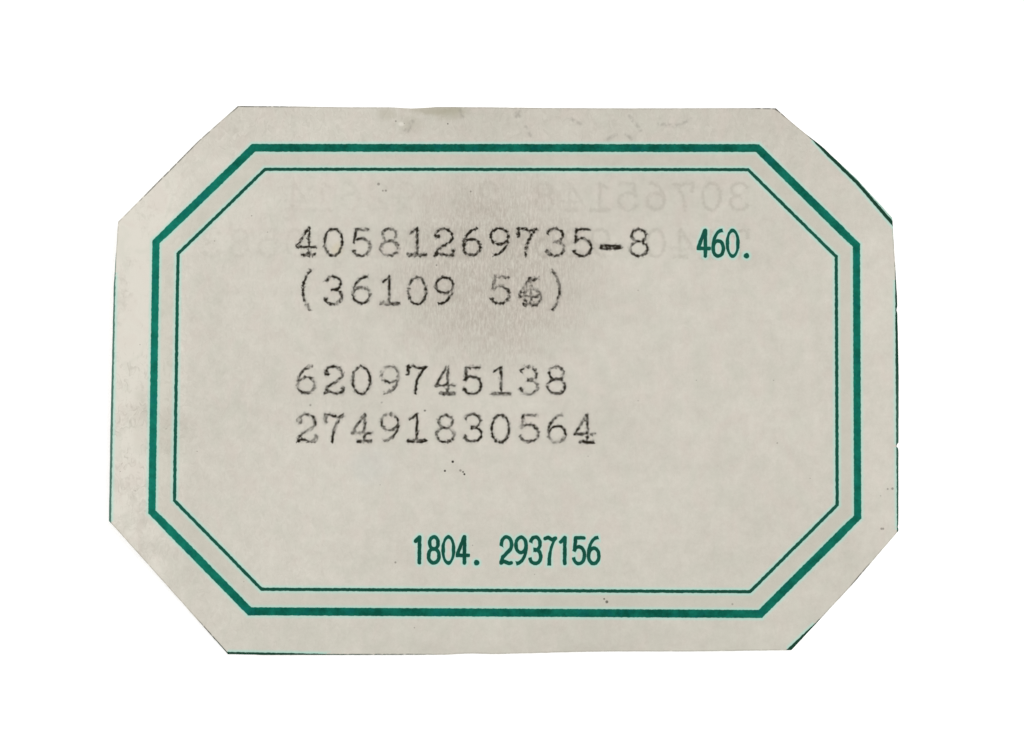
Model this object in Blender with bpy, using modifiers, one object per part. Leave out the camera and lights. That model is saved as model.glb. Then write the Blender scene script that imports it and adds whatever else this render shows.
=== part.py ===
# A paper specimen label: one sheet of heavy paper, its corners cut off with scissors, lying print side up.
# Run it with blender --background --python part.py, or from Blender's text editor.
# Units are metres. +X runs along the typed lines, +Y points to the head of the label and +Z is up.
# The origin is at the middle of the underside, which rests on the table.
import bmesh
import bpy
from mathutils import Matrix, Vector

MM = 0.001

# The sheet
LENGTH = 70.2 * MM
HEIGHT = 49.3 * MM
THICKNESS = 0.2 * MM

# The scissor cuts, in millimetres: one corner where two cuts meet, anticlockwise from the head's right end
CORNERS_MM = (
    (24.3, 24.47),
    (-24.15, 24.65),
    (-27.65, 21.46),
    (-34.72, 14.0),
    (-35.02, 8.0),
    (-35.09, -3.0),
    (-35.1, -12.84),
    (-24.4, -24.6),
    (-20.0, -24.65),
    (-5.5, -24.54),
    (25.55, -23.96),
    (31.03, -18.04),
    (35.0, -13.4),
    (35.1, 0.5),
    (35.0, 7.4),
    (34.62, 14.5),
    (31.5, 18.02),
    (28.45, 20.93),
)

# The sheet lies flat between these two lines across it, and curls up beyond them
FLAT_FROM_X = -21.0 * MM
FLAT_TO_X = 23.0 * MM
LEFT_LIFT = 0.9 * MM
RIGHT_LIFT = 0.5 * MM

# Paper bends one way only, so the sheet's grid is fine along X and coarse along Y
STEP_X = 1.5 * MM
STEP_Y = 4.0 * MM
MERGE_WITHIN = 0.02 * MM

# Aged paper, as the photograph shows it, in linear colour
PAPER_COLOUR = (0.61, 0.57, 0.49, 1.0)
PAPER_ROUGHNESS = 0.85


def clear_scene():
    for old in list(bpy.data.objects):
        bpy.data.objects.remove(old, do_unlink=True)


def lift_at(x):
    """How far the sheet stands off the table at x: nothing in the middle, a parabola at either end."""
    left = max(0.0, FLAT_FROM_X - x) / (FLAT_FROM_X + LENGTH / 2)
    right = max(0.0, x - FLAT_TO_X) / (LENGTH / 2 - FLAT_TO_X)
    return LEFT_LIFT * left**2 + RIGHT_LIFT * right**2


def cut_sheet():
    """The underside of the sheet as a flat grid, trimmed along every scissor cut."""
    sheet = bmesh.new()
    bmesh.ops.create_grid(
        sheet,
        x_segments=round(LENGTH / STEP_X),
        y_segments=round(HEIGHT / STEP_Y),
        size=0.5,
        matrix=Matrix.Diagonal((LENGTH, HEIGHT, 1.0, 1.0)),
    )
    corners = [Vector((x * MM, y * MM, 0.0)) for x, y in CORNERS_MM]
    for start, end in zip(corners, corners[1:] + corners[:1]):
        along = end - start
        bmesh.ops.bisect_plane(
            sheet,
            geom=sheet.verts[:] + sheet.edges[:] + sheet.faces[:],
            plane_co=start,
            plane_no=Vector((along.y, -along.x, 0.0)).normalized(),
            clear_outer=True,
        )
    bmesh.ops.remove_doubles(sheet, verts=sheet.verts, dist=MERGE_WITHIN)
    return sheet


def make_label(collection):
    sheet = cut_sheet()
    for vert in sheet.verts:
        vert.co.z = lift_at(vert.co.x)
    mesh = bpy.data.meshes.new("label_card")
    sheet.to_mesh(mesh)
    sheet.free()
    label = bpy.data.objects.new("label_card", mesh)
    collection.objects.link(label)

    card = label.modifiers.new("card_thickness", "SOLIDIFY")
    card.thickness = THICKNESS
    card.offset = 1.0
    card.use_even_offset = True
    return label


def paper():
    material = bpy.data.materials.new("label_paper")
    material.use_nodes = True
    shader = material.node_tree.nodes["Principled BSDF"]
    shader.inputs["Base Color"].default_value = PAPER_COLOUR
    shader.inputs["Roughness"].default_value = PAPER_ROUGHNESS
    shader.inputs["Metallic"].default_value = 0.0
    return material


clear_scene()
specimen_label = bpy.data.collections.new("specimen_label")
bpy.context.scene.collection.children.link(specimen_label)
make_label(specimen_label).data.materials.append(paper())
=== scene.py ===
# %% [markdown]
# This lesson finishes one old paper label from a mineral collection. It is a sheet of heavy paper as long as
# a thumb, printed with a green frame, cut out by hand and typed on from both sides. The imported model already
# holds the sheet at its true size, flat in the middle and curled at both ends. What is left to do is what the
# eye sees: the cut edge, the cockled paper, the ink and the years. The model is loaded first, and its box is
# kept, because nothing that follows may outgrow it.
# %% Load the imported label
import math
from collections import namedtuple
from functools import partial, reduce

import bpy
import numpy as np
from mathutils import Euler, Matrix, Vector, noise


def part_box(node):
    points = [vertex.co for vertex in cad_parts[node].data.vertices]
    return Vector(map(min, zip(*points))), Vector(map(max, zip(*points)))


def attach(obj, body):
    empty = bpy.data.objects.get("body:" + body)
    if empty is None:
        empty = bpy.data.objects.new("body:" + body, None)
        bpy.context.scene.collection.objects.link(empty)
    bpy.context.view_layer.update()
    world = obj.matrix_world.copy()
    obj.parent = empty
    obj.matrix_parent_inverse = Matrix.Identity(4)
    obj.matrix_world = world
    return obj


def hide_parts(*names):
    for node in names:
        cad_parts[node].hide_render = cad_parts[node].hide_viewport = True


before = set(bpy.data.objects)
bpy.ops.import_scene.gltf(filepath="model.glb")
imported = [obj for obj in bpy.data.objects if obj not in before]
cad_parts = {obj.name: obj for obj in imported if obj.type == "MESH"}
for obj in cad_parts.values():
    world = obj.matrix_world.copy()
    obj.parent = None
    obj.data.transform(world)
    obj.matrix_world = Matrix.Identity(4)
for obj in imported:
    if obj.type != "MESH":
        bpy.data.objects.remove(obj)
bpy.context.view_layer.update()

MM = 0.001
CARD_NODE = "label_card"
card_low, card_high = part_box(CARD_NODE)
print("The packed sheet measures", [round(side / MM, 2) for side in card_high - card_low], "mm")

# %% [markdown]
# The photograph looks almost straight down. The printed frame gives the camera away: it is a true octagon on
# paper, and in the picture its lower side is a little longer than its upper one. So the camera leans, by four
# and a half degrees towards the reader and by less than two to the right. A long lens keeps the sheet's curl
# from showing as distortion. Turned by its own measured angles and backed off along its line of sight, the
# camera puts every printed line on its pixel, which placing it by eye would not.
# %% Place the camera
FOCAL_LENGTH = 100.0
CAMERA_DISTANCE = 253.98 * MM
CAMERA_TURN = Euler([math.radians(angle) for angle in (4.562, 1.621, 0.296)])
AIMED_AT = Vector((0.72, 0.46, 0.2)) * MM

line_of_sight = CAMERA_TURN.to_matrix().col[2]
bpy.ops.object.camera_add(location=AIMED_AT + line_of_sight * CAMERA_DISTANCE, rotation=CAMERA_TURN)
camera = bpy.context.object
camera.name = "photo_camera"
camera.data.lens = FOCAL_LENGTH
camera.data.clip_start = 10 * MM
bpy.context.scene.camera = camera
print("The camera stands", round(camera.location.z / MM), "mm above the table")

# %% [markdown]
# The label was photographed on white, in light that comes from everywhere at once. A pale table, a bright sky
# of one colour and a wide lamp do that here. The lamp hangs to the right, so that the left end of the sheet,
# which curls up and faces it, is the brightest part. In the photograph the curled ends cast hardly a shadow,
# so the table glows a little by itself. A view transform of Standard shows paper and ink in their own
# colours, where a film-like one would grey them.
# %% Lay the table and light it
TABLE_SIDE = 3.0
TABLE_FINISH = {
    "Base Color": (0.85, 0.85, 0.85, 1.0),
    "Roughness": 0.9,
    "Specular IOR Level": 0.1,
    "Emission Color": (1.0, 1.0, 1.0, 1.0),
    "Emission Strength": 0.38,
}
SKY_STRENGTH = 0.79
LAMP_POWER = 1.3
LAMP_SIDE = 0.5
LAMP_PLACE = Vector((0.38, 0.22, 0.42))

bpy.ops.mesh.primitive_plane_add(size=TABLE_SIDE)
table = bpy.context.object
table.name = "pale_table"
table_finish = bpy.data.materials.new("pale_table_top")
table_finish.use_nodes = True
for name, value in TABLE_FINISH.items():
    table_finish.node_tree.nodes["Principled BSDF"].inputs[name].default_value = value
table.data.materials.append(table_finish)

sky = bpy.context.scene.world or bpy.data.worlds.new("studio")
bpy.context.scene.world = sky
sky.use_nodes = True
background = sky.node_tree.nodes["Background"].inputs
background["Color"].default_value = (1.0, 1.0, 1.0, 1.0)
background["Strength"].default_value = SKY_STRENGTH

bpy.ops.object.light_add(type="AREA", location=LAMP_PLACE)
lamp = bpy.context.object
lamp.name = "soft_lamp"
lamp.rotation_euler = LAMP_PLACE.to_track_quat("Z", "Y").to_euler()
lamp.data.energy = LAMP_POWER
lamp.data.size = LAMP_SIDE
bpy.context.scene.view_settings.view_transform = "Standard"
print("The lamp is", round(LAMP_PLACE.length, 2), "m from the label")

# %% [markdown]
# The sheet is one piece of paper, so it is one mesh. It could be an outline drawn as a curve and filled, but
# a filled face can't bend. A grid can: it starts as a plain rectangle of small squares, as paper does, and
# every snip of the scissors is one bisect that throws away what lies outside. The corners of the cut are the
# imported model's own, because the outline is a matter of size, and size is settled there.
# %% Cut the sheet out
CUT_CORNERS = (
    (24.3, 24.47), (-24.15, 24.65), (-27.65, 21.46), (-34.72, 14.0), (-35.02, 8.0), (-35.09, -3.0),
    (-35.1, -12.84), (-24.4, -24.6), (-20.0, -24.65), (-5.5, -24.54), (25.55, -23.96), (31.03, -18.04),
    (35.0, -13.4), (35.1, 0.5), (35.0, 7.4), (34.62, 14.5), (31.5, 18.02), (28.45, 20.93),
)
GRID_STEP = 0.5 * MM
MERGE_WITHIN = 0.02 * MM


def snip(start, end):
    """One straight cut, with the sheet to its left: all that lies to the right falls away."""
    along = end - start
    bpy.ops.mesh.select_all(action="SELECT")
    bpy.ops.mesh.bisect(
        plane_co=start, plane_no=Vector((along.y, -along.x, 0.0)), clear_outer=True, threshold=1e-7
    )


card_size = card_high - card_low
squares_x, squares_y = [round(side / GRID_STEP) for side in card_size[:2]]
bpy.ops.mesh.primitive_grid_add(x_subdivisions=squares_x, y_subdivisions=squares_y, size=1.0)
label = bpy.context.object
label.name = "paper_label"
label.scale = (card_size.x, card_size.y, 1.0)
bpy.ops.object.transform_apply(location=False, rotation=False, scale=True)
corners = [Vector((x, y, 0.0)) * MM for x, y in CUT_CORNERS]
bpy.ops.object.mode_set(mode="EDIT")
for corner, following in zip(corners, corners[1:] + corners[:1]):
    snip(corner, following)
bpy.ops.mesh.select_all(action="SELECT")
bpy.ops.mesh.remove_doubles(threshold=MERGE_WITHIN)
bpy.ops.object.mode_set(mode="OBJECT")
print("The cut sheet has", len(label.data.polygons), "faces")

# %% [markdown]
# Old paper never lies quite flat. This sheet curls up at both ends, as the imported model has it, and it is
# slightly cockled between them. Its upper edge has one small dent, where something has pushed it in and
# crumpled it. A bend modifier would give the curl alone, so the heights are written as one function of the
# place on the sheet, and the grid's points are moved to it. The cockle only ever lifts the paper, which
# keeps the middle of the underside on the table.
# %% Curl, cockle and dent the paper
FLAT_FROM_X = -21.0
FLAT_TO_X = 23.0
LEFT_LIFT = 0.9
RIGHT_LIFT = 0.5
COCKLE = 0.07
COCKLE_LENGTH = 13.0
DENT_X = -8.3
DENT_HALF_WIDTH = 1.5
DENT_DEPTH = 0.14
DENT_REACH = 1.6
CRUMPLE = 0.12
half_length = card_size.x / MM / 2
half_height = card_size.y / MM / 2


def curl(x):
    """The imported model's own curl, in millimetres: a parabola at either end."""
    left = np.clip(FLAT_FROM_X - x, 0, None) / (FLAT_FROM_X + half_length)
    right = np.clip(x - FLAT_TO_X, 0, None) / (half_length - FLAT_TO_X)
    return LEFT_LIFT * left**2 + RIGHT_LIFT * right**2


def cockle(x, y):
    """Long shallow waves that fade towards the ends, where the curl has stretched them out."""
    place = Vector((x / COCKLE_LENGTH, y / COCKLE_LENGTH, 0.7))
    fade = max(0.0, 1.0 - (x / half_length) ** 4)
    return COCKLE * fade * max(0.0, noise.noise(place) + 0.15)


def dent(x, y):
    """How strongly a place belongs to the dent, from 0 to 1."""
    across = (x - DENT_X) / DENT_HALF_WIDTH
    down = (half_height - y) / DENT_REACH
    return math.exp(-(across**2) - down**2)


points = np.array([point.co for point in label.data.vertices]) / MM
for number, (x, y, _) in enumerate(points):
    pushed = dent(x, y)
    ridges = noise.noise(Vector((x * 1.9, y * 0.8, 3.1)))
    points[number, 1] = y - DENT_DEPTH * pushed
    points[number, 2] = curl(x) + cockle(x, y) + CRUMPLE * pushed * (0.5 + ridges)
label.data.vertices.foreach_set("co", (points * MM).ravel())
label.data.update()
print("The sheet stands", round(points[:, 2].max(), 2), "mm off the table at its left end")

# %% [markdown]
# Scissors leave an edge that is straight but not perfect. In a few places it runs slightly hollow, seen
# closely it wavers by a hair's breadth, and on the right three little nicks have taken a bite out of it. The
# faces along the edge are divided once more, so that a nick has points to stand on. Then every point near the
# edge is nudged inwards, the outermost ones fully and those behind them less and less, because a point that
# moved alone would fold over its neighbour. Each point keeps its distance from the edge for the finish, which
# paints a thin line of shade along the edge and looks there for what is left of the cutting line.
# %% Roughen the cut edge
Bite = namedtuple("Bite", "place half_width depth fades_within")
BITES = (
    Bite((8.0, 24.55), 17.0, 0.07, 4.0),
    Bite((-13.5, 24.6), 8.0, 0.07, 3.0),
    Bite((8.5, -24.3), 10.0, 0.1, 4.0),
    Bite((-3.0, -24.5), 2.6, 0.07, 2.0),
    Bite((26.2, 22.9), 3.0, 0.07, 2.0),
    Bite((34.98, 6.25), 0.3, 0.08, 0.7),
    Bite((35.04, -5.85), 0.28, 0.2, 0.8),
    Bite((35.0, -13.0), 0.2, 0.06, 0.5),
)
WAVER = 0.012
WAVER_FADES_WITHIN = 0.6
EDGE_DISTANCE = "distance_from_the_edge"


def nearest_cut(x, y):
    """How far inside the nearest cut a place lies, and the direction inwards from that cut."""
    nearest = (math.inf, (0.0, 0.0))
    for start, end in zip(CUT_CORNERS, CUT_CORNERS[1:] + CUT_CORNERS[:1]):
        length = math.dist(start, end)
        inwards = ((start[1] - end[1]) / length, (end[0] - start[0]) / length)
        inside = (x - start[0]) * inwards[0] + (y - start[1]) * inwards[1]
        nearest = min(nearest, (inside, inwards))
    return nearest


def fading(distance, reach):
    """1 at no distance, falling smoothly to 0 at the reach."""
    share = min(max(distance / reach, 0.0), 1.0)
    return 1.0 - share * share * (3.0 - 2.0 * share)


bpy.ops.object.mode_set(mode="EDIT")
bpy.ops.mesh.select_mode(type="EDGE")
bpy.ops.mesh.select_all(action="DESELECT")
bpy.ops.mesh.select_non_manifold(use_verts=False)
bpy.ops.mesh.select_mode(type="VERT")
bpy.ops.mesh.select_mode(type="FACE", use_expand=True)
bpy.ops.mesh.subdivide(number_cuts=2)
bpy.ops.object.mode_set(mode="OBJECT")
deepest = 0.0
from_the_edge = label.data.attributes.new(EDGE_DISTANCE, "FLOAT", "POINT")
for point in label.data.vertices:
    x, y, z = point.co / MM
    inside, inwards = nearest_cut(x, y)
    from_the_edge.data[point.index].value = inside
    push = 0.0
    if inside < WAVER_FADES_WITHIN:
        waver = 1.1 + noise.noise(Vector((x * 0.9, y * 0.9, 8.2))) + noise.noise(Vector((x * 3, y * 3, 2.6)))
        push = WAVER * max(waver, 0.0) * fading(inside, WAVER_FADES_WITHIN)
    for bite in BITES:
        along = abs((x - bite.place[0]) * inwards[1] - (y - bite.place[1]) * inwards[0])
        if math.dist((x, y), bite.place) < bite.half_width + bite.fades_within:
            push += bite.depth * fading(along, bite.half_width) * fading(inside, bite.fades_within)
    point.co += Vector((*inwards, 0.0)) * push * MM
    deepest = max(deepest, push)
print("The deepest nick is", round(deepest, 2), "mm deep, on", len(label.data.vertices), "points")

# %% [markdown]
# Now the sheet gets its thickness. Solidify adds the printed side above the surface made so far, because that
# surface is the underside, and closes the rim between them. The faces are then sorted by the way they point:
# up is the printed side, down is the back, and the rest is the cut edge, where the inside of the paper shows.
# %% Thicken the sheet and name its sides
THICKNESS = 0.2
PRINTED_SIDE, BACK_SIDE, CUT_EDGE = range(3)

thicken = label.modifiers.new("thickness", "SOLIDIFY")
thicken.thickness = THICKNESS * MM
thicken.offset = 1.0
thicken.use_even_offset = True
bpy.ops.object.modifier_apply(modifier="thickness")
for face in label.data.polygons:
    if abs(face.normal.z) < 0.5:
        face.material_index = CUT_EDGE
    elif face.normal.z > 0:
        face.material_index = PRINTED_SIDE
    else:
        face.material_index = BACK_SIDE
bpy.ops.object.shade_smooth_by_angle(angle=math.radians(40))
print("The finished sheet has", len(label.data.polygons), "faces")

# %% [markdown]
# The finish is drawn by nodes that read the place on the label. Written out node by node it would be
# unreadable, so one small class wraps a socket and lets Python's own signs add the Math nodes: 1 - mask is a
# Subtract node. Another class adds any node by its type, its settings and what goes into its sockets.
# %% Write shader maths as sums
NODES_IN_A_COLUMN = 12


class Field:
    """A number, vector or colour that changes over the surface: one output socket."""

    def __init__(self, graph, socket):
        self.graph = graph
        self.socket = socket

    def __add__(self, other):
        return self.graph.math("ADD", self, other)

    def __radd__(self, other):
        return self.graph.math("ADD", other, self)

    def __sub__(self, other):
        return self.graph.math("SUBTRACT", self, other)

    def __rsub__(self, other):
        return self.graph.math("SUBTRACT", other, self)

    def __mul__(self, other):
        return self.graph.math("MULTIPLY", self, other)

    def __rmul__(self, other):
        return self.graph.math("MULTIPLY", other, self)

    def __truediv__(self, other):
        return self.graph.math("DIVIDE", self, other)

    def __abs__(self):
        return self.graph.math("ABSOLUTE", self)

    def beside(self, output):
        """Another output of the same node."""
        return Field(self.graph, self.socket.node.outputs[output])


class Graph:
    """A node tree to draw in."""

    def __init__(self, tree):
        self.tree = tree

    def node(self, kind, settings=None, sockets=None, output=0):
        """Adds a node, gives it its settings, fills its sockets and returns one of its outputs."""
        made = self.tree.nodes.new(kind)
        count = len(self.tree.nodes)
        made.location = (180 * (count // NODES_IN_A_COLUMN), -150 * (count % NODES_IN_A_COLUMN))
        for name, value in (settings or {}).items():
            setattr(made, name, value)
        for name, value in (sockets or {}).items():
            if isinstance(value, Field):
                self.tree.links.new(value.socket, made.inputs[name])
            else:
                made.inputs[name].default_value = value
        return Field(self, made.outputs[output]) if made.outputs else None

    def math(self, operation, *values):
        return self.node("ShaderNodeMath", {"operation": operation}, dict(enumerate(values)))

    def vector(self, operation, first, second):
        """Vector Math with two vectors, whose answer is a vector."""
        return self.node("ShaderNodeVectorMath", {"operation": operation}, {0: first, 1: second})

    def number(self, operation, first, second=(0.0, 0.0, 0.0)):
        """Vector Math with two vectors, whose answer is a number."""
        return self.node("ShaderNodeVectorMath", {"operation": operation}, {0: first, 1: second}, output=1)

    def place(self, x, y):
        return self.node("ShaderNodeCombineXYZ", {}, {"X": x, "Y": y})

    def apart(self, vector):
        x = self.node("ShaderNodeSeparateXYZ", {}, {0: vector})
        return x, x.beside("Y")

    def smooth(self, value, low, high):
        """0 below low, 1 above high and a soft step between them; low may be the greater."""
        settings = {"interpolation_type": "SMOOTHSTEP"}
        sockets = {"Value": value, "From Min": min(low, high), "From Max": max(low, high)}
        if low > high:
            sockets |= {"To Min": 1.0, "To Max": 0.0}
        return self.node("ShaderNodeMapRange", settings, sockets)

    def mix(self, factor, first, second):
        return self.node("ShaderNodeMix", {"data_type": "RGBA"}, {0: factor, 6: first, 7: second}, output=2)

    def least(self, *values):
        return reduce(partial(self.math, "MINIMUM"), values)

    def greatest(self, *values):
        return reduce(partial(self.math, "MAXIMUM"), values)

    def clouds(self, place, per_mm, detail=2.0, roughness=0.5, warp=0.0, flat=True):
        """Noise from 0 to 1. per_mm may differ along X and Y, which draws the pattern out."""
        if isinstance(per_mm, tuple):
            place = self.vector("MULTIPLY", place, (*per_mm, 1.0))
            per_mm = 1.0
        settings = {"noise_dimensions": "2D" if flat else "3D"}
        sockets = {"Vector": place, "Scale": per_mm, "Detail": detail, "Roughness": roughness,
                   "Distortion": warp}
        return self.node("ShaderNodeTexNoise", settings, sockets)

    def wander(self, amount, place, per_mm, **noise_settings):
        """Noise around 0 instead, from half the amount below it to half the amount above."""
        return (self.clouds(place, per_mm, **noise_settings) - 0.5) * amount


def linear(red, green, blue):
    """A colour as an eyedropper reads it, from 0 to 255, turned into the linear light that shaders use."""
    light = [((c / 255 + 0.055) / 1.055) ** 2.4 for c in (red, green, blue)]
    return (*light, 1.0)


print("Printed green is", [round(c, 3) for c in linear(13, 90, 74)[:3]], "in linear light")

# %% [markdown]
# The label's numerals are drawn the way a sign painter would lay them out, from straight strokes, parts of
# ovals and round blots. A text object would be quicker, but its letters would be solid pieces lying on the
# paper, and ink has no thickness. Here each stroke answers one question for every place on the sheet: how
# far away is it? The nearest stroke then makes the ink. The text itself holds nothing but plain numerals.
# %% Lay out the numerals
Line = namedtuple("Line", "start end serif", defaults=(False,))
Sweep = namedtuple("Sweep", "centre radii begin finish serif", defaults=(0.0, 360.0, False))
Blot = namedtuple("Blot", "centre growth serif", defaults=(False,))
NUMERALS = {
    "0": (Sweep((0.0, 1.31), (0.78, 1.21)),),
    "1": (
        Line((0.02, 2.5), (0.02, 0.12)), Line((0.0, 2.48), (-0.58, 2.1)),
        Line((-0.74, 0.11), (0.78, 0.11), serif=True),
    ),
    "2": (
        Sweep((0.0, 1.83), (0.76, 0.7), 168, -38), Line((0.6, 1.4), (-0.56, 0.66)),
        Line((-0.56, 0.66), (-0.78, 0.12)), Line((-0.78, 0.12), (-0.42, 0.3)),
        Line((-0.42, 0.3), (0.4, 0.1)), Line((0.4, 0.1), (0.74, 0.16)),
        Line((0.74, 0.16), (0.86, 0.6), serif=True), Blot((-0.6, 1.86), 0.1, serif=True),
    ),
    "3": (
        Sweep((-0.04, 1.93), (0.7, 0.6), 155, -88), Sweep((-0.04, 0.74), (0.82, 0.64), 92, -155),
        Blot((-0.66, 0.52), 0.07, serif=True),
    ),
    "4": (
        Line((0.18, 2.52), (-0.84, 0.86)), Line((-0.84, 0.82), (0.86, 0.82)),
        Line((0.24, 2.52), (0.24, 0.12)), Line((-0.32, 0.11), (0.74, 0.11), serif=True),
    ),
    "5": (
        Line((-0.54, 2.48), (0.66, 2.48)), Line((-0.54, 2.48), (-0.64, 1.36)),
        Sweep((-0.04, 0.88), (0.82, 0.78), 140, -152), Blot((-0.7, 0.48), 0.06, serif=True),
    ),
    "6": (Sweep((0.0, 0.82), (0.76, 0.71)), Sweep((0.62, 0.92), (1.38, 1.6), 182, 98)),
    "7": (
        Line((-0.76, 2.4), (-0.3, 2.5)), Line((-0.3, 2.5), (0.3, 2.3)), Line((0.3, 2.3), (0.8, 2.44)),
        Line((-0.76, 2.5), (-0.78, 1.86), serif=True), Sweep((1.72, 0.1), (1.84, 2.656), 180, 120),
    ),
    "8": (Sweep((0.0, 1.95), (0.62, 0.56)), Sweep((0.0, 0.76), (0.78, 0.65))),
    "9": (Sweep((0.0, 1.8), (0.76, 0.71)), Sweep((-0.62, 1.7), (1.38, 1.6), 2, -82)),
    "(": (Sweep((2.38, 1.35), (2.7, 2.7), 139, 221), Blot((0.3, 3.05), 0.03, serif=True)),
    ")": (Sweep((-2.38, 1.35), (2.7, 2.7), 41, -41), Blot((-0.3, 3.05), 0.03, serif=True)),
    ".": (Blot((-0.1, 0.14), 0.08),),
    "-": (
        Line((-0.9, 0.76), (0.9, 0.78)), Line((-0.9, 0.9), (0.9, 0.9)), Line((-0.88, 1.02), (0.9, 1.0)),
    ),
}
GLYPHS = "".join(NUMERALS)
BLANK = len(GLYPHS) + 1
print("There are", sum(map(len, NUMERALS.values())), "strokes in", len(GLYPHS), "glyphs")

# %% [markdown]
# A stroke's distance is a handful of nodes. On a straight stroke the nearest point is found by sliding along
# it, and the slide is clamped at its ends. On an oval it is how far a place lies inside or outside the ring.
# Part of an oval is the ring cut straight across at its two ends. A whole typeface goes in one node group,
# which keeps the strokes of the glyph that is asked for and pushes the others far away.
# %% Measure the distance to a stroke
FAR_AWAY = 9.0
SERIF_GROWTH = 0.045


def distance_to_line(graph, place, start, end):
    along = Vector((*end, 0.0)) - Vector((*start, 0.0))
    from_start = graph.vector("SUBTRACT", place, (*start, 0.0))
    slide = graph.number("DOT_PRODUCT", from_start, along / along.length_squared)
    slide = graph.node("ShaderNodeClamp", {}, {"Value": slide})
    nearest = graph.node("ShaderNodeVectorMath", {"operation": "SCALE"}, {0: along, "Scale": slide})
    return graph.number("DISTANCE", from_start, nearest)


def distance_to_sweep(graph, place, centre, radii, begin, finish):
    from_centre = graph.vector("SUBTRACT", place, (*centre, 0.0))
    reach = graph.number("LENGTH", from_centre)
    oval = graph.number("LENGTH", graph.vector("DIVIDE", from_centre, (*radii, 1.0)))
    distance = abs(reach - reach / oval)
    if abs(finish - begin) >= 360:
        return distance
    past_ends = []
    for turn, onwards in ((begin, begin - finish), (finish, finish - begin)):
        cosine, sine = math.cos(math.radians(turn)), math.sin(math.radians(turn))
        end = Vector((radii[0] * cosine, radii[1] * sine, 0.0))
        outwards = (Vector((-radii[0] * sine, radii[1] * cosine, 0.0)) * onwards).normalized()
        past_ends.append(graph.number("DOT_PRODUCT", from_centre, outwards) - end.dot(outwards))
    past_both = graph.least(*past_ends) if abs(finish - begin) > 180 else graph.greatest(*past_ends)
    return graph.greatest(distance, past_both)


def distance_to_stroke(graph, place, stroke, stretch):
    """The distance to one stroke, which is widened and heightened by stretch before it is measured."""
    def fit(pair):
        return (pair[0] * stretch[0], pair[1] * stretch[1])

    if isinstance(stroke, Sweep):
        return distance_to_sweep(
            graph, place, fit(stroke.centre), fit(stroke.radii), stroke.begin, stroke.finish
        )
    if isinstance(stroke, Blot):
        return graph.number("DISTANCE", place, (*fit(stroke.centre), 0.0)) - stroke.growth
    distance = distance_to_line(graph, place, fit(stroke.start), fit(stroke.end))
    return distance - SERIF_GROWTH if stroke.serif else distance


def typeface(name, glyphs, stretch, serifs):
    """A node group that takes a place in a glyph's own cell and the glyph's number, and gives a distance."""
    group = bpy.data.node_groups.new(name, "ShaderNodeTree")
    group.interface.new_socket("Place", in_out="INPUT", socket_type="NodeSocketVector")
    group.interface.new_socket("Glyph", in_out="INPUT", socket_type="NodeSocketFloat")
    group.interface.new_socket("Distance", in_out="OUTPUT", socket_type="NodeSocketFloat")
    graph = Graph(group)
    place = graph.node("NodeGroupInput")
    wanted = place.beside("Glyph")
    distances = []
    for glyph in glyphs:
        strokes = [stroke for stroke in NUMERALS[glyph] if serifs or not stroke.serif]
        distance = graph.least(*[distance_to_stroke(graph, place, stroke, stretch) for stroke in strokes])
        is_wanted = graph.math("COMPARE", wanted, GLYPHS.index(glyph), 0.5)
        distances.append(graph.math("MULTIPLY_ADD", is_wanted, -FAR_AWAY, distance))
    graph.node("NodeGroupOutput", {}, {"Distance": graph.least(*distances) + FAR_AWAY})
    return group


typewriter = typeface("typewriter_numerals", GLYPHS, (1.0, 1.0), serifs=True)
printer = typeface("printer_numerals", "0123456789.", (0.6, 0.96), serifs=False)
print("The typewriter's glyphs take", len(typewriter.nodes), "nodes, the printer's", len(printer.nodes))

# %% [markdown]
# A typewriter gives every character a cell of one width, and that makes typing easy to draw: the place on the
# sheet says which line and which cell it is in, and a colour ramp with hard steps says which glyph stands in
# that cell, one step for each. The printer's lines work the same way with narrower cells. Each key strikes a
# little off its mark and with a force of its own, so every cell also draws a random number.
# %% Set the lines of text
TextLine = namedtuple("TextLine", "first_x baseline text")
TYPED_PITCH = 2.487
PRINTED_PITCH = 1.292
FRONT_TYPING = (
    TextLine(-17.9, 11.05, "40581269735-8"),
    TextLine(-17.85, 6.7, "(36109 54)"),
    TextLine(-17.76, -1.35, "6209745138"),
    TextLine(-17.71, -5.66, "27491830564"),
)
BACK_TYPING = (
    TextLine(-20.9, 15.2, "30765148 26 92614"),
    TextLine(-20.9, 10.95, "7140 9358 2761 40583"),
)
PRINTED_LINES = (
    TextLine(17.76, 11.04, "460."),
    TextLine(-7.5, -16.45, "1804. 2937156"),
)
DROP_BELOW_LINE = 1.0
TEXT_MIDDLE = 1.35
TEXT_MARGIN = 0.6
GREY_STEPS = BLANK + 1


def glyph_ramp(graph, cell, cells, text):
    """The number of the glyph in a cell. There is one blank cell before the text and at least one after."""
    numbers = [BLANK if letter == " " else GLYPHS.index(letter) for letter in text]
    numbers = [BLANK, *numbers] + [BLANK] * (cells - len(numbers) - 1)
    grey = graph.node("ShaderNodeValToRGB", {}, {"Fac": (cell + 1.5) / cells})
    ramp = grey.socket.node.color_ramp
    ramp.interpolation = "CONSTANT"
    while len(ramp.elements) < cells:
        ramp.elements.new(1.0)
    for step, number in enumerate(numbers):
        value = number / GREY_STEPS
        ramp.elements[step].position = step / cells
        ramp.elements[step].color = (value, value, value, 1.0)
    return grey * GREY_STEPS


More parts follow.
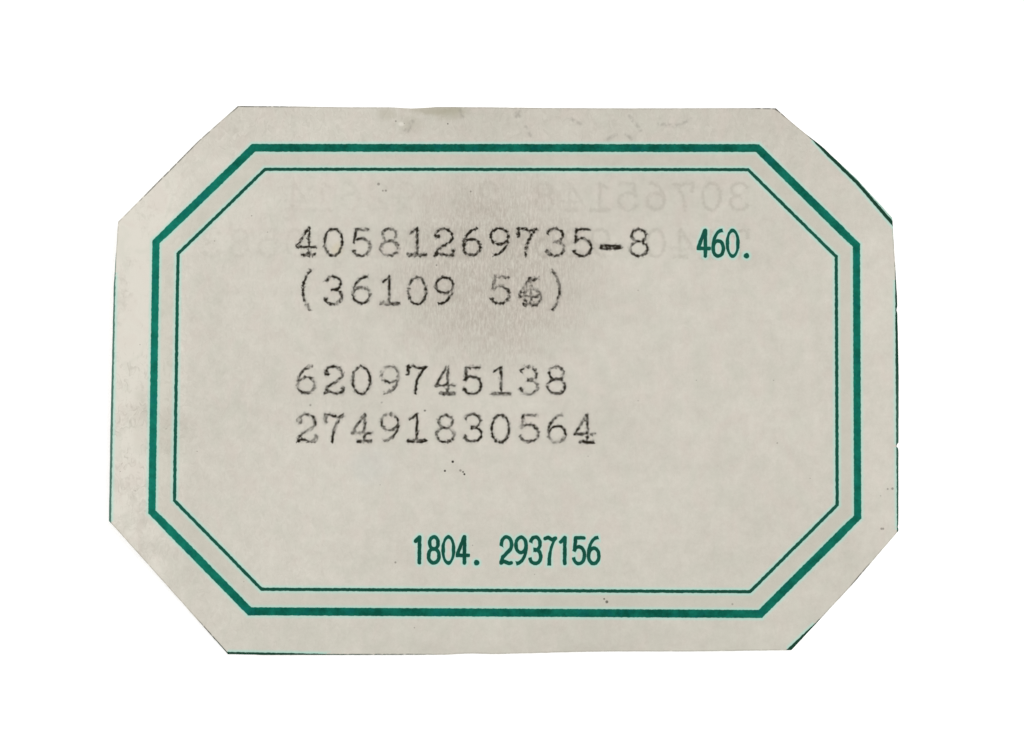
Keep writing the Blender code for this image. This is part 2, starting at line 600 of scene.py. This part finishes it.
def text_field(graph, face, place, lines, pitch, wander=0.0):
    """The distance to the nearest stroke of some lines of text, and each cell's own random number."""
    x, y = graph.apart(place)
    baseline = lines[0].baseline
    first_x = lines[0].first_x
    below = []
    for above, line in zip(lines, lines[1:]):
        is_below = graph.math("LESS_THAN", y, above.baseline - DROP_BELOW_LINE)
        baseline = is_below * (line.baseline - above.baseline) + baseline
        first_x = is_below * (line.first_x - above.first_x) + first_x
        below.append(is_below)
    cell = graph.math("FLOOR", (x - first_x) / pitch + 0.5)
    cells = max(len(line.text) for line in lines) + 2
    glyph = glyph_ramp(graph, cell, cells, lines[0].text)
    for is_below, line in zip(below, lines[1:]):
        glyph = glyph + is_below * (glyph_ramp(graph, cell, cells, line.text) - glyph)
    chance = graph.node(
        "ShaderNodeTexWhiteNoise", {"noise_dimensions": "2D"}, {"Vector": graph.place(cell, baseline)}
    )
    in_cell = graph.place(x - first_x - cell * pitch, y - baseline)
    if wander:
        off_mark = graph.vector("SUBTRACT", chance.beside("Color"), (0.5, 0.5, 0.5))
        off_mark = graph.vector("MULTIPLY", off_mark, (wander, wander, 0.0))
        in_cell = graph.vector("ADD", in_cell, off_mark)
    distance = graph.node("ShaderNodeGroup", {"node_tree": face}, {"Place": in_cell, "Glyph": glyph})
    return distance, chance


def beside_text(graph, place, lines, pitch):
    """1 on and close around some lines of text, 0 elsewhere."""
    x, y = graph.apart(place)
    areas = []
    for line in lines:
        middle_x = line.first_x + (len(line.text) - 1) * pitch / 2
        in_length = graph.math("COMPARE", x, middle_x, len(line.text) * pitch / 2 + TEXT_MARGIN)
        in_height = graph.math("COMPARE", y, line.baseline + TEXT_MIDDLE, TEXT_MIDDLE + TEXT_MARGIN)
        areas.append(in_length * in_height)
    return graph.greatest(*areas)


print("The front has", sum(len(line.text) for line in FRONT_TYPING), "typed characters")

# %% [markdown]
# The printed frame is a thick rule with a fine one inside it, both octagons. Each is a measure of how far a
# place lies outside it, and the ink is a band around nought. The frame was set by hand from pieces of rule
# that don't quite match. So each octagon has a middle of its own, its corner pieces sit closer on one
# diagonal than on the other, and the thick rule's upright pieces are worn thinner. Outside these two ran a
# cutting line. The scissors mostly followed it and left only slivers, which depend on a tenth of a
# millimetre. So it is drawn as straight lines between points of its own.
# %% Draw the printed frame
Octagon = namedtuple("Octagon", "middle half_length half_height to_corner_cut skew half_width")
THICK_RULE = Octagon((0.0, 0.085), 31.355, 20.805, 30.735, 0.062, 0.362)
FINE_RULE = Octagon((0.09, 0.09), 29.47, 18.85, 28.67, 0.05, 0.148)
WEAR_ALONG_X = (30.0, 31.0)
WEAR = 0.035
CUTTING_LINE = (
    (24.5, 24.9), (27.4, 21.89), (28.9, 20.27), (31.5, 17.68), (34.5, 14.1), (34.9, 13.65),
    (34.905, 0.0), (34.95, -13.5), (35.0, -14.8), (25.2, -23.92), (24.6, -24.63), (-14.5, -24.63),
    (-18.5, -24.55), (-24.6, -24.465), (-35.08, -13.6), (-35.03, 14.41), (-24.6, 24.84),
)
CUTTING_HALF_WIDTH = 0.155
PRINTED_HALF_STROKE = 0.175


def outside(graph, x, y, octagon):
    """How far a place lies outside an octagon, and below 0 inside it."""
    across = x - octagon.middle[0]
    up = y - octagon.middle[1]
    beyond_sides = graph.greatest(abs(across) - octagon.half_length, abs(up) - octagon.half_height)
    which_diagonal = graph.math("SIGN", across * up)
    beyond_corners = (abs(across) + abs(up)) * math.sqrt(0.5) + which_diagonal * octagon.skew
    return graph.greatest(beyond_sides, beyond_corners - octagon.to_corner_cut)


def outside_rules(graph, place):
    """How far a place lies outside the ink of both rules, and below 0 where there is ink."""
    x, y = graph.apart(place)
    wear = graph.smooth(abs(x), *WEAR_ALONG_X) * WEAR
    return graph.least(
        abs(outside(graph, x, y, THICK_RULE)) - THICK_RULE.half_width + wear,
        abs(outside(graph, x, y, FINE_RULE)) - FINE_RULE.half_width,
    )


def outside_cutting_line(graph, place):
    stretches = zip(CUTTING_LINE, CUTTING_LINE[1:] + CUTTING_LINE[:1])
    return graph.least(*[distance_to_line(graph, place, *ends) for ends in stretches]) - CUTTING_HALF_WIDTH


def outside_printed_numerals(graph, place):
    distance, _ = text_field(graph, printer, place, PRINTED_LINES, PRINTED_PITCH)
    return distance - PRINTED_HALF_STROKE


print("The thick rule is", 2 * THICK_RULE.half_length, "by", 2 * THICK_RULE.half_height, "mm")

# %% [markdown]
# A cloth ribbon inks a character unevenly. Its threads print as rows of beads, a hard strike is black and a
# weak one grey, and a little loose ink dirties the paper around each stroke. So the typed ink is the distance
# to the stroke, made ragged by the threads and by noise, and weighed by the strike's own force and by larger
# patches where the ribbon had run dry. One character was struck over another.
# %% Ink the typed lines
STRUCK_OVER = {"glyph": "6", "place": (2.45, 6.62)}
TYPED_HALF_STROKE = 0.12
TYPED_SOFTNESS = 0.05
SEEN_THROUGH_HALF_STROKE = 0.14
SEEN_THROUGH_SOFTNESS = 0.14
THREAD_SPACING = 0.23
STRIKE_WANDER = 0.1
RAGGEDNESS = 0.45
BEADING = 0.05
LEAST_INK = 0.62
INK_OF_FORCE = 0.45
INK_OF_PATCHES = 1.3
INK_OF_WEAVE = -1.6
INK_OF_THREADS = 0.15
LOOSE_INK = 0.07
LOOSE_INK_REACH = 0.45


def typed_marks(graph, place, lines, half_stroke, softness, struck_over=None):
    """Where the ribbon's ink lies, from 0 to 1."""
    x, y = graph.apart(place)
    distance, force = text_field(graph, typewriter, place, lines, TYPED_PITCH, STRIKE_WANDER)
    if struck_over:
        in_cell = graph.vector("SUBTRACT", place, (*struck_over["place"], 0.0))
        for stroke in NUMERALS[struck_over["glyph"]]:
            distance = graph.least(distance, distance_to_stroke(graph, in_cell, stroke, (1.0, 1.0)))
    turns_per_mm = math.tau / THREAD_SPACING
    threads = graph.math("SINE", x * turns_per_mm) * graph.math("SINE", y * turns_per_mm)
    weave = graph.wander(1.0, place, 4.0, roughness=0.7)
    ragged = distance + weave * RAGGEDNESS - threads * BEADING
    body = graph.smooth(ragged, half_stroke + softness, half_stroke - softness)
    strength = LEAST_INK + INK_OF_FORCE * force + graph.wander(INK_OF_PATCHES, place, 0.8, detail=1.0)
    strength = strength + INK_OF_WEAVE * weave + INK_OF_THREADS * threads
    strength = graph.node("ShaderNodeClamp", {}, {"Value": strength})
    loose_ink = graph.smooth(distance, LOOSE_INK_REACH, 0.1) * LOOSE_INK
    return graph.math("MINIMUM", body * strength + loose_ink, 1.0)


print("A typed stroke is", 2 * TYPED_HALF_STROKE, "mm wide, with a thread every", THREAD_SPACING, "mm")

# %% [markdown]
# The paper itself is never one colour. Its fibres lie in clouds, which show as soft patches of greenish grey
# and faint pink, and its grain is as strong in small spots as in larger ones. Raised fibres get painted shade
# along one side and a painted highlight along the other. Age has browned the sheet unevenly, so areas with
# soft ends each add or take away a little, and the left end is painted paler, as painted light where it curls
# up to face the lamp. A brownish pink stain has spread over the upper middle, where something wet once lay
# and raised an upright grain. What fingers and pencils have left lies about singly, like the specks of dirt,
# so it is listed one by one, and so are the painted shade and painted highlight of the crumpled dent and a
# thin line of painted shade along the cut edge. Everything is faint, because paper that is overdone looks
# like stone.
# %% Age the paper
Area = namedtuple("Area", "adds x y", defaults=((), ()))
SoftPatch = namedtuple("SoftPatch", "middle radii colour strength")
PALE_PAPER = linear(224, 219, 207)
DEEP_PAPER = linear(194, 189, 177)
GREEN_GREY = linear(200, 202, 187)
FAINT_PINK = linear(214, 198, 189)
STAIN_COLOUR = linear(180, 171, 159)
SPECK_BROWN = linear(62, 50, 42)
SPECK_BLACK = linear(24, 16, 8)
# Pencil, and the painted shade in the dent's creases.
PENCIL_AND_CRUMPLE_SHADE_COLOUR = linear(150, 146, 137)
# Painted shade along the cut edge.
EDGE_SHADE_COLOUR = linear(96, 95, 88)
# Painted shade in the crumpled dent.
DENT_SHADE_COLOUR = linear(160, 154, 130)
DUST = linear(176, 168, 152)
BLUISH = linear(188, 196, 200)
YELLOWED = linear(214, 198, 160)
LEFT_END = (-27.0, -33.0)
BROWNING_AND_PAINTED_LIGHT_AREAS = (
    # The first two areas paint the left end paler: painted light where it curls up to face the lamp.
    Area(-0.4, x=LEFT_END),
    Area(-0.25, x=LEFT_END, y=(-8.0, 8.0)),
    Area(-0.13, x=(30.0, 33.0)),
    Area(-0.13, x=(-8.0, -26.0), y=(8.0, 19.0)),
    Area(-0.11, x=(-8.0, -16.0, -27.0, -24.0), y=(0.0, -8.0)),
    Area(0.13, x=(-14.0, -6.0), y=(12.0, 20.0)),
    Area(0.12, y=(19.0, 23.0)),
    Area(0.12, y=(-19.0, -23.0)),
    Area(0.06, y=(-9.0, -14.0, -20.0, -17.5)),
    Area(0.07, x=(-4.0, 8.0)),
)
# Where the painted shade and highlight of raised fibres are stronger.
FIBRE_SHADING_AREAS = (
    Area(0.06, x=(-6.0, -20.0)),
    Area(0.09, y=(18.0, 22.0)),
    Area(0.1, x=LEFT_END),
    Area(0.25, x=LEFT_END, y=(-13.5, -7.5, 6.5, 0.5)),
)
GREENER_AREAS = (Area(0.12, y=(-13.0, -20.0)),)
STAIN_MIDDLE = (-1.2, 9.9)
STAIN_RADII = (10.8, 10.1)
SMEARS_AND_DENT_LIGHT_AND_SHADE = (
    # The first four are painted shade in and along the crumpled dent of the upper edge, the fifth a painted
    # highlight on its crumple; the rest are smears on the paper.
    SoftPatch((-6.3, 24.3), (3.0, 0.5), DENT_SHADE_COLOUR, 0.4),
    SoftPatch((-5.0, 24.1), (1.8, 0.8), DENT_SHADE_COLOUR, 0.3),
    SoftPatch((-8.6, 23.1), (1.2, 1.0), DENT_SHADE_COLOUR, 0.2),
    SoftPatch((-10.7, 24.0), (1.0, 0.7), DENT_SHADE_COLOUR, 0.25),
    SoftPatch((-9.45, 23.05), (0.35, 0.25), PALE_PAPER, 0.9),
    SoftPatch((-32.3, -3.4), (1.2, 4.0), DUST, 0.16),
    SoftPatch((-29.3, -4.2), (1.8, 2.6), DUST, 0.12),
    SoftPatch((-11.8, -7.7), (2.2, 1.9), BLUISH, 0.12),
    SoftPatch((-15.1, 11.7), (0.6, 0.8), YELLOWED, 0.33),
)
# Stretches of the cut edge where its painted line of shade is stronger.
EDGE_SHADE_PATCHES = (
    ((-29.8, 19.0), (6.0, 5.5)), ((-22.5, 24.7), (4.0, 1.0)), ((24.2, 24.4), (2.5, 1.0)),
    ((31.6, -17.2), (1.6, 1.6)), ((-25.9, -22.8), (2.0, 2.0)), ((-12.0, -24.6), (5.5, 1.5)),
)
PENCIL_AND_CRUMPLE_SHADE_STROKES = (
    # The first two are painted shade in creases of the crumpled dent; the rest are pencil marks.
    ((-9.05, 22.5), (-8.4, 23.3)), ((-8.8, 22.4), (-8.5, 23.2)), ((-4.1, 24.3), (-3.9, 23.7)),
    ((0.8, 24.3), (1.2, 23.8)), ((1.2, 24.3), (0.9, 23.7)), ((1.8, 22.8), (2.2, 22.0)),
    ((5.7, 23.6), (6.7, 23.1)), ((9.1, 21.7), (9.9, 22.1)), ((10.8, 22.1), (11.3, 21.7)),
    ((11.1, 23.8), (12.1, 22.5)), ((13.7, 23.1), (15.3, 22.9)), ((15.3, 22.9), (16.6, 23.5)),
)
PENCIL_AND_CRUMPLE_SHADE_REACH = 0.27
PENCIL_AND_CRUMPLE_SHADE_STRENGTH = 0.45
STAIN_STRENGTH = 0.85
FAINT_SPECK_STRENGTH = 0.5
DARK_SPECK_STRENGTH = 0.95
DARK_SPECKS = (
    (-4.58, -7.34, 0.1), (-5.27, -8.16, 0.08), (-3.65, -8.25, 0.06), (-3.53, -8.45, 0.08),
    (-7.1, -2.79, 0.065), (9.18, -19.72, 0.12), (8.94, -19.46, 0.07), (-5.23, 23.08, 0.045),
    (-6.16, 10.28, 0.045),
)
FAINT_SPECKS = (
    (33.44, -13.15, 0.09), (33.58, -13.15, 0.09), (34.0, -9.63, 0.07), (34.42, -9.6, 0.1),
    (33.38, -10.24, 0.03), (-9.62, -16.32, 0.08), (-17.35, -2.33, 0.08), (20.29, -19.87, 0.08),
    (-9.92, 23.32, 0.07), (-3.12, 16.94, 0.07), (-10.96, -2.08, 0.06), (24.28, -5.57, 0.05),
    (-22.83, 14.72, 0.045), (-10.76, 17.01, 0.09), (-11.03, 17.0, 0.07), (-11.42, 17.6, 0.12),
    (-21.39, 13.24, 0.04), (-2.76, -14.77, 0.04), (-7.88, -22.09, 0.04), (-26.13, 12.42, 0.04),
    (-27.43, -6.51, 0.035), (-23.12, -18.09, 0.035), (-9.15, 23.11, 0.03), (11.9, 8.05, 0.035),
    (7.48, -6.81, 0.03), (23.97, 0.02, 0.03), (0.24, 9.95, 0.03), (27.18, -8.7, 0.03),
    (2.77, -17.32, 0.03), (17.1, 0.0, 0.03), (-32.63, 3.01, 0.03), (11.92, -1.85, 0.03),
    (-11.04, -9.43, 0.03), (-30.21, -4.51, 0.03), (-34.19, -8.36, 0.03), (-32.86, -10.07, 0.03),
    (-6.15, 11.28, 0.04), (-3.89, -8.12, 0.1),
)


def in_patch(graph, place, middle, radii, ragged):
    """1 in the middle of a soft patch, 0 outside it."""
    from_middle = graph.vector("SUBTRACT", place, (*middle, 0.0))
    spread = graph.number("LENGTH", graph.vector("DIVIDE", from_middle, (*radii, 1.0))) + ragged
    return graph.smooth(spread, 1.2, 0.35)


def with_areas(graph, place, amount, areas):
    """An amount and what each area adds. Two numbers are one soft end: where it begins and is complete."""
    x, y = graph.apart(place)
    for area in areas:
        soft_ends = [graph.smooth(x, *end) for end in zip(area.x[::2], area.x[1::2])]
        soft_ends += [graph.smooth(y, *end) for end in zip(area.y[::2], area.y[1::2])]
        amount = amount + math.prod(soft_ends, start=area.adds)
    return amount


def bare_paper(graph, place, stain, flecks):
    """The sheet before anyone touched it: its browning, with painted light on the left end, its grain, and its
    fibres, with painted shade and highlight.
    """
    x, _ = graph.apart(place)
    left_end = graph.smooth(x, *LEFT_END)
    # Browning, with the left end painted paler as painted light where it curls up.
    browning_and_painted_light = with_areas(graph, place, 0.5 + graph.wander(0.35, place, 0.11), BROWNING_AND_PAINTED_LIGHT_AREAS)
    mottling = graph.wander(1.4, place, 0.45) * left_end
    grain = graph.wander(1.0, place, 0.6, detail=5.0, roughness=0.84)
    grain = grain * (0.9 + 0.4 * left_end + 0.15 * stain)
    # Raised fibres: painted shade along one side of each and a painted highlight along the other.
    standing_up = graph.clouds(place, (1.6, 0.9), detail=1.0, warp=0.6)
    painted_fibre_shade = graph.smooth(abs(standing_up - 0.45), 0.1, 0.0)
    painted_fibre_highlight = graph.smooth(abs(standing_up - 0.55), 0.1, 0.0) * 0.9
    fibrous = with_areas(graph, place, 0.05, FIBRE_SHADING_AREAS) * graph.smooth(flecks, 0.3, 0.6)
    fibres = (painted_fibre_shade - painted_fibre_highlight) * fibrous
    colour = graph.mix(browning_and_painted_light + mottling + grain + fibres, PALE_PAPER, DEEP_PAPER)
    patches = with_areas(graph, place, graph.clouds(place, (0.6, 0.4), warp=0.6), GREENER_AREAS)
    colour = graph.mix(graph.smooth(patches, 0.5, 0.75) * 0.22, colour, GREEN_GREY)
    return graph.mix(graph.smooth(patches, 0.5, 0.25) * 0.2, colour, FAINT_PINK)


def on_specks(graph, place, specks):
    outside_specks = [graph.number("DISTANCE", place, (x, y, 0.0)) - radius for x, y, radius in specks]
    return graph.smooth(graph.least(*outside_specks), 0.05, -0.03)


def paper_colour(graph, place, from_edge):
    ragged = graph.wander(1.1, place, 0.5, detail=4.0, roughness=0.7)
    flecks = graph.clouds(place, 2.2)
    stain = in_patch(graph, place, STAIN_MIDDLE, STAIN_RADII, ragged * 0.5)
    colour = bare_paper(graph, place, stain, flecks)
    streaks = graph.clouds(place, (5.0, 1.3), detail=3.0, roughness=0.85)
    colour = graph.mix(stain * graph.smooth(streaks, 0.22, 0.72) * STAIN_STRENGTH, colour, STAIN_COLOUR)
    # Smears, and the painted shade and painted highlight of the crumpled dent.
    for soft_patch in SMEARS_AND_DENT_LIGHT_AND_SHADE:
        patch = in_patch(graph, place, soft_patch.middle, soft_patch.radii, ragged)
        colour = graph.mix(patch * soft_patch.strength, colour, soft_patch.colour)
    # Pencil marks, and two streaks of painted shade in the dent's creases.
    pencil_and_crumple_shade = graph.least(*[distance_to_line(graph, place, *ends) for ends in PENCIL_AND_CRUMPLE_SHADE_STROKES])
    pencil_and_crumple_shade = graph.smooth(pencil_and_crumple_shade, PENCIL_AND_CRUMPLE_SHADE_REACH, 0.0) * graph.smooth(flecks, 0.25, 0.6)
    colour = graph.mix(pencil_and_crumple_shade * PENCIL_AND_CRUMPLE_SHADE_STRENGTH, colour, PENCIL_AND_CRUMPLE_SHADE_COLOUR)
    # A thin line of painted shade along the cut edge, stronger on some stretches of it.
    edge_shade = graph.greatest(*[in_patch(graph, place, middle, radii, ragged) for middle, radii in EDGE_SHADE_PATCHES])
    edge_shade = (0.25 + 0.7 * edge_shade) * graph.smooth(from_edge, 0.14, 0.04) * graph.smooth(flecks, 0.25, 0.5)
    colour = graph.mix(edge_shade, colour, EDGE_SHADE_COLOUR)
    colour = graph.mix(on_specks(graph, place, FAINT_SPECKS) * FAINT_SPECK_STRENGTH, colour, SPECK_BROWN)
    return graph.mix(on_specks(graph, place, DARK_SPECKS) * DARK_SPECK_STRENGTH, colour, SPECK_BLACK)


print("The paper has", len(SMEARS_AND_DENT_LIGHT_AND_SHADE), "smears and", len(DARK_SPECKS) + len(FAINT_SPECKS), "specks")

# %% [markdown]
# Both sides are one recipe in two orders. The printed side shows its own ink sharp and the back's typing
# faint, soft and mirrored, because the paper lets some light through, and the back shows the reverse. The
# printer's ink took unevenly and has crept a little way into the paper, which leaves a pale green rim along
# each rule, and along the cutting line where the scissors left some of it. Places are Object coordinates in
# millimetres without their height, so that the curl stretches no pattern. A little fine relief stands for the
# paper's tooth. The text takes more than a thousand nodes and most of the sheet has none. So there are two
# shaders, with text and without, and a Mix Shader asks for the costly one only beside the lines of text.
# %% Finish the two sides
GREEN_DEEP = linear(5, 80, 64)
GREEN_FRESH = linear(22, 124, 104)
GREEN_BLUE = linear(4, 90, 99)
GREEN_BLACK = linear(28, 65, 50)
GREEN_WORN = linear(82, 118, 105)
GREEN_CREPT = linear(158, 228, 212)
PRESSED_PAPER = linear(187, 185, 169)
RIBBON_INK = linear(44, 39, 31)
SEEN_THROUGH = linear(120, 112, 98)
FRESHER_AREAS = (Area(0.5, x=(-18.0, -31.0)), Area(0.25, x=(18.0, 31.0)))
WORN_AREAS = (Area(1.0, x=(-28.0, -34.0)), Area(0.4, x=(34.0, 34.6), y=(4.0, -4.0)))
WHOLE_CUTTING_LINE = Area(1.0, x=(27.5, 29.5), y=(12.0, 14.0))
CUT_SHOWS_BELOW = (-0.075, -0.11)
FRESHNESS = 0.27
UNEVENNESS = 1.8
BLUENESS = 0.25
NUMERALS_DARKER = 0.45
FINE_RULE_DARKER = 0.65
PRINT_SLIP = (0.056, -0.056)
PRINT_SOFTNESS = 0.035
PRINT_RAGGEDNESS = 0.09
CREEP = 0.34
CREEP_STRENGTH = 0.55
PRESSED_STRENGTH = 0.3
SHOWS_ON_BACK = 0.13
SHINES_THROUGH = 0.08
SHINES_THROUGH_MORE = 0.11
PAPER_ROUGHNESS = 0.88
PRINT_ROUGHNESS = 0.6
SHEEN = 0.03
TOOTH_HEIGHT = 0.006 * MM
EDGE_RELIEF = 0.03 * MM


def new_graph(name):
    material = bpy.data.materials.new(name)
    material.use_nodes = True
    material.node_tree.nodes.clear()
    return material, Graph(material.node_tree)


def place_on_sheet(graph, mirrored):
    """The place on the print in millimetres, as someone reads it who looks at this side."""
    way = -1.0 if mirrored else 1.0
    coordinates = graph.node("ShaderNodeTexCoord", output="Object")
    shift = (-way * PRINT_SLIP[0], -PRINT_SLIP[1], 0.0)
    to_mm = {"Vector": coordinates, "Location": shift, "Scale": (way / MM, 1 / MM, 0.0)}
    return graph.node("ShaderNodeMapping", {}, to_mm)


def green_ink(graph, place):
    """The printer's green: freshest at the left, darker within the thick rule and worn along the cut edge."""
    x, y = graph.apart(place)
    freshness = FRESHNESS + graph.wander(UNEVENNESS, place, 0.7, detail=4.0, roughness=0.75)
    freshness = with_areas(graph, place, freshness, FRESHER_AREAS)
    on_rules = graph.mix(freshness, GREEN_DEEP, GREEN_FRESH)
    bluer = graph.smooth(graph.clouds(place, 0.9, warp=0.5), 0.5, 0.75) * BLUENESS
    on_rules = graph.mix(bluer, on_rules, GREEN_BLUE)
    outside_fine = outside(graph, x, y, FINE_RULE)
    by_fine_rule = graph.smooth(outside_fine, -0.6, -0.3)
    darker = NUMERALS_DARKER + (FINE_RULE_DARKER - NUMERALS_DARKER) * by_fine_rule
    darker = graph.smooth(outside_fine, 0.6, 0.3) * darker
    on_rules = graph.mix(darker, on_rules, GREEN_BLACK)
    on_cutting_line = graph.mix(with_areas(graph, place, 0.0, WORN_AREAS), GREEN_BLACK, GREEN_WORN)
    return graph.mix(graph.smooth(outside(graph, x, y, THICK_RULE), 2.0, 3.0), on_rules, on_cutting_line)


def press_paper(graph, paper, place):
    """The strip between the two rules is a little duller, where the printer's forme has pressed it."""
    x, y = graph.apart(place)
    outside_fine = graph.smooth(outside(graph, x, y, FINE_RULE), -0.1, 0.5)
    inside_thick = graph.smooth(outside(graph, x, y, THICK_RULE), 0.4, -0.4)
    return graph.mix(outside_fine * inside_thick * PRESSED_STRENGTH, paper, PRESSED_PAPER)


def where_cut_shows(graph, place, outside_cut, from_edge):
    """1 where the scissors left some of the cutting line on the sheet, 0 where they cut it off."""
    whole_line = with_areas(graph, place, 0.0, [WHOLE_CUTTING_LINE])
    return graph.greatest(graph.smooth(outside_cut - from_edge, *CUT_SHOWS_BELOW), whole_line)


def lay_print(graph, colour, outside_print, outside_cut, cut_shows, green, strength):
    """Puts the printer's ink on a colour, and gives the new colour and where the ink is."""
    crept = graph.smooth(outside_cut, CREEP, 0.0) * cut_shows
    crept = graph.greatest(graph.smooth(outside_print, CREEP, 0.0), crept) * CREEP_STRENGTH * strength
    colour = graph.mix(crept, colour, GREEN_CREPT)
    ink = graph.smooth(graph.least(outside_print, outside_cut), PRINT_SOFTNESS, -PRINT_SOFTNESS) * strength
    return graph.mix(ink, colour, green), ink


def matt_paper(graph, colour, ink, relief):
    sockets = {
        "Base Color": colour,
        "Roughness": PAPER_ROUGHNESS - ink * (PAPER_ROUGHNESS - PRINT_ROUGHNESS),
        "Specular IOR Level": SHEEN,
        "Normal": relief,
    }
    return graph.node("ShaderNodeBsdfPrincipled", {}, sockets)


def side_of_label(name, is_back):
    material, graph = new_graph(name)
    seen = place_on_sheet(graph, mirrored=is_back)
    other_way = graph.vector("MULTIPLY", seen, (-1.0, 1.0, 1.0))
    from_front = other_way if is_back else seen
    own_typing, far_typing = (BACK_TYPING, FRONT_TYPING) if is_back else (FRONT_TYPING, BACK_TYPING)
    print_strength = SHOWS_ON_BACK if is_back else 1.0
    tooth = graph.clouds(seen, 5.0, detail=3.0, roughness=0.6) + graph.clouds(seen, (3.0, 0.8))
    relief = graph.node("ShaderNodeBump", {}, {"Height": tooth, "Distance": TOOTH_HEIGHT})
    from_edge = graph.node("ShaderNodeAttribute", {"attribute_name": EDGE_DISTANCE}, output="Fac")
    paper = press_paper(graph, paper_colour(graph, from_front, from_edge), from_front)
    green = green_ink(graph, from_front)
    ragged = graph.wander(PRINT_RAGGEDNESS, from_front, 3.0)
    outside_frame = outside_rules(graph, from_front) + ragged
    outside_cut = outside_cutting_line(graph, from_front) + ragged
    cut_shows = where_cut_shows(graph, from_front, outside_cut, from_edge)

    printed, ink = lay_print(graph, paper, outside_frame, outside_cut, cut_shows, green, print_strength)
    plain = matt_paper(graph, printed, ink, relief)

    x, y = graph.apart(from_front)
    ghost = typed_marks(graph, other_way, far_typing, SEEN_THROUGH_HALF_STROKE, SEEN_THROUGH_SOFTNESS)
    ghost = ghost * (SHINES_THROUGH + SHINES_THROUGH_MORE * graph.smooth(x, -12.0, 20.0))
    seen_through = graph.mix(ghost, paper, SEEN_THROUGH)
    outside_print = graph.least(outside_frame, outside_printed_numerals(graph, from_front) + ragged)
    printed, ink = lay_print(
        graph, seen_through, outside_print, outside_cut, cut_shows, green, print_strength
    )
    struck_over = None if is_back else STRUCK_OVER
    typing = typed_marks(graph, seen, own_typing, TYPED_HALF_STROKE, TYPED_SOFTNESS, struck_over)
    written = matt_paper(graph, graph.mix(typing, printed, RIBBON_INK), ink, relief)

    beside_any_text = graph.greatest(
        beside_text(graph, seen, own_typing, TYPED_PITCH),
        beside_text(graph, other_way, far_typing, TYPED_PITCH),
        beside_text(graph, from_front, PRINTED_LINES, PRINTED_PITCH),
    )
    shader = graph.node("ShaderNodeMixShader", {}, {0: beside_any_text, 1: plain, 2: written})
    graph.node("ShaderNodeOutputMaterial", {}, {"Surface": shader})
    return material


def cut_edge():
    """The inside of the sheet: paler than its faces, and fibrous where the scissors tore rather than cut."""
    material, graph = new_graph("cut_paper_edge")
    coordinates = graph.node("ShaderNodeTexCoord", output="Object")
    place = graph.node("ShaderNodeMapping", {}, {"Vector": coordinates, "Scale": (1 / MM, 1 / MM, 1 / MM)})
    layers = graph.clouds(place, 6.0, detail=3.0, roughness=0.7, flat=False)
    colour = graph.mix(graph.smooth(layers, 0.3, 0.7), DEEP_PAPER, PALE_PAPER)
    relief = graph.node("ShaderNodeBump", {}, {"Height": layers, "Distance": EDGE_RELIEF})
    sockets = {"Base Color": colour, "Roughness": 0.95, "Specular IOR Level": 0.05, "Normal": relief}
    shader = graph.node("ShaderNodeBsdfPrincipled", {}, sockets)
    graph.node("ShaderNodeOutputMaterial", {}, {"Surface": shader})
    return material


finishes = (
    side_of_label("printed_side", is_back=False),
    side_of_label("back_side", is_back=True),
    cut_edge(),
)
for finish in finishes:
    label.data.materials.append(finish)
    print(finish.name, "has", len(finish.node_tree.nodes), "nodes")

# %% [markdown]
# The pattern needs no map, but anyone who takes this label into another program will want one, with the
# printed side as large as it will go. So the two sides are laid out one above the other, the printed one
# taller, and the rim runs along the bottom as a thin ribbon.
# %% Lay out a map
BAKE_MAP = "OFBake"
MAP_WIDTH = (0.004, 0.996)
FRONT_BAND = (0.4, 0.996)
BACK_BAND = (0.03, 0.392)
RIM_BAND = (0.004, 0.022)
HALF_TURN = math.pi + 0.02

bake_map = label.data.uv_layers.new(name=BAKE_MAP)
low, high = card_low / MM, card_high / MM
for face in label.data.polygons:
    band = (FRONT_BAND, BACK_BAND, RIM_BAND)[face.material_index]
    turn = math.atan2(face.center.y, face.center.x)
    for corner in face.loop_indices:
        x, y, z = label.data.vertices[label.data.loops[corner].vertex_index].co / MM
        across, up = np.interp(x, (low.x, high.x), MAP_WIDTH), np.interp(y, (low.y, high.y), band)
        if face.material_index == CUT_EDGE:
            own_turn = turn + (math.atan2(y, x) - turn + math.pi) % math.tau - math.pi
            across = np.interp(own_turn, (-HALF_TURN, HALF_TURN), MAP_WIDTH)
            up = band[1] if z - curl(x) > THICKNESS / 2 else band[0]
        bake_map.data[corner].uv = (across, up)
print("The printed side gets", round(100 * (FRONT_BAND[1] - FRONT_BAND[0])), "% of the map")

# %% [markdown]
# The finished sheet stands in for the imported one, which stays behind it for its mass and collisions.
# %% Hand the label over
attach(label, "root")
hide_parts(CARD_NODE)
